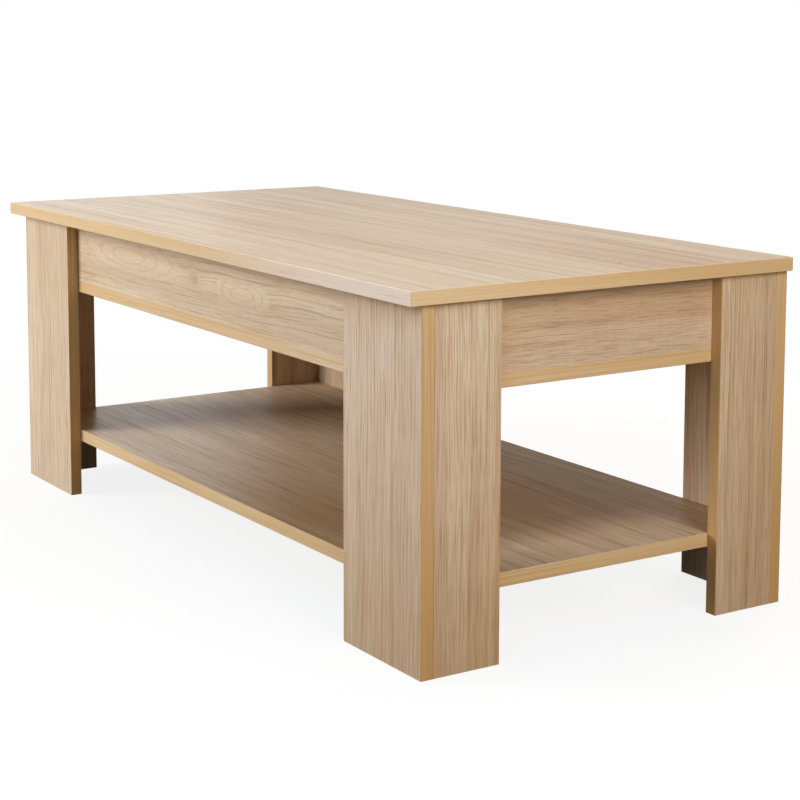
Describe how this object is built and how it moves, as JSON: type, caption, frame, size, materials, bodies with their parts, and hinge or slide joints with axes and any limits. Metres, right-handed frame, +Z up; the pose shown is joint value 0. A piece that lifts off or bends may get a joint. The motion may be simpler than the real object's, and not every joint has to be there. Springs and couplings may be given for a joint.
{
  "type": "lift top coffee table",
  "caption": "Rectangular oak-effect coffee table on L-shaped board legs, with a lower shelf and a one-piece top that lifts up and forward over a storage space.",
  "frame": {"origin": "on the floor, under the middle of the top in plan", "axes": "+X along the table's length, -Y towards the front, where the top comes as it lifts, +Z up"},
  "size_m": [1.08, 0.525, 0.41],
  "materials": {
    "oak_face": "oak-effect melamine, satin, fine pores",
    "oak_edge": "golden oak edge band, satin",
    "dowel_wood": "plain turned beech",
    "black_steel": "black powder coat, fine texture",
    "bright_steel": "zinc-plated steel",
    "spring_steel": "drawn spring wire, lightly oiled",
    "cam_metal": "die-cast, matt",
    "nylon": "natural white nylon",
    "bumper_rubber": "translucent grey, soft"
  },
  "bodies": {
    "table_base": {"front_left_leg_wide_board": "oak_face", "front_right_leg_wide_board": "oak_face", "back_left_leg_wide_board": "oak_face", "back_right_leg_wide_board": "oak_face", "front_left_leg_narrow_board": "oak_face", "front_right_leg_narrow_board": "oak_face", "back_left_leg_narrow_board": "oak_face", "back_right_leg_narrow_board": "oak_face", "front_apron": "oak_face", "back_apron": "oak_face", "left_apron": "oak_face", "right_apron": "oak_face", "compartment_floor": "oak_face", "lower_shelf": "oak_face", "floor_edge_bands": "oak_edge", "shelf_edge_bands": "oak_edge", "apron_edge_bands": "oak_edge", "leg_edge_bands": "oak_edge", "foot_edge_bands": "oak_edge", "leg_dowels": "dowel_wood", "shelf_dowels": "dowel_wood", "apron_dowels": "dowel_wood", "cam_bolts": "bright_steel", "cam_locks": "cam_metal", "floor_screws": "bright_steel", "leg_screws": "bright_steel", "left_base_bracket": "black_steel", "right_base_bracket": "black_steel", "base_bracket_screws": "bright_steel", "lower_pivot_rivets": "bright_steel", "lower_washers": "nylon", "stop_pins": "bright_steel", "spring_anchor_posts": "bright_steel", "left_spring": "spring_steel", "right_spring": "spring_steel", "lid_bumpers": "bumper_rubber"},
    "left_front_arm": {"left_front_arm": "black_steel"},
    "left_rear_arm": {"left_rear_arm": "black_steel", "left_spring_stud": "bright_steel"},
    "right_front_arm": {"right_front_arm": "black_steel"},
    "right_rear_arm": {"right_rear_arm": "black_steel", "right_spring_stud": "bright_steel"},
    "lift_top": {"top_panel": "oak_face", "top_edge_bands": "oak_edge", "left_top_bracket": "black_steel", "right_top_bracket": "black_steel", "top_bracket_screws": "bright_steel", "upper_pivot_rivets": "bright_steel", "upper_spacers": "nylon"}
  },
  "joints": [
    {"name": "lift", "type": "hinge", "parent": "table_base", "child": "left_front_arm", "pos_m": [-0.4939, -0.0975, 0.37], "axis": [1, 0, 0], "range_deg": [0, 130], "stiffness_Nm_per_rad": 2.8, "springref_deg": 130, "deforming": ["left_spring", "right_spring"]},
    {"name": "left_rear_arm_swing", "type": "hinge", "parent": "table_base", "child": "left_rear_arm", "pos_m": [-0.4939, -0.0075, 0.3285], "axis": [1, 0, 0], "range_deg": [0, 130]},
    {"name": "right_front_arm_swing", "type": "hinge", "parent": "table_base", "child": "right_front_arm", "pos_m": [0.4939, -0.0975, 0.37], "axis": [1, 0, 0], "range_deg": [0, 130]},
    {"name": "right_rear_arm_swing", "type": "hinge", "parent": "table_base", "child": "right_rear_arm", "pos_m": [0.4939, -0.0075, 0.3285], "axis": [1, 0, 0], "range_deg": [0, 130]},
    {"name": "top_level", "type": "hinge", "parent": "left_front_arm", "child": "lift_top", "pos_m": [-0.4939, 0.1025, 0.37], "axis": [1, 0, 0], "range_deg": [-130, 0]}
  ],
  "couplings": [
    {"joint": "left_rear_arm_swing", "follows": "lift", "ratio": 1},
    {"joint": "right_front_arm_swing", "follows": "lift", "ratio": 1},
    {"joint": "right_rear_arm_swing", "follows": "lift", "ratio": 1},
    {"joint": "top_level", "follows": "lift", "ratio": -1}
  ]
}
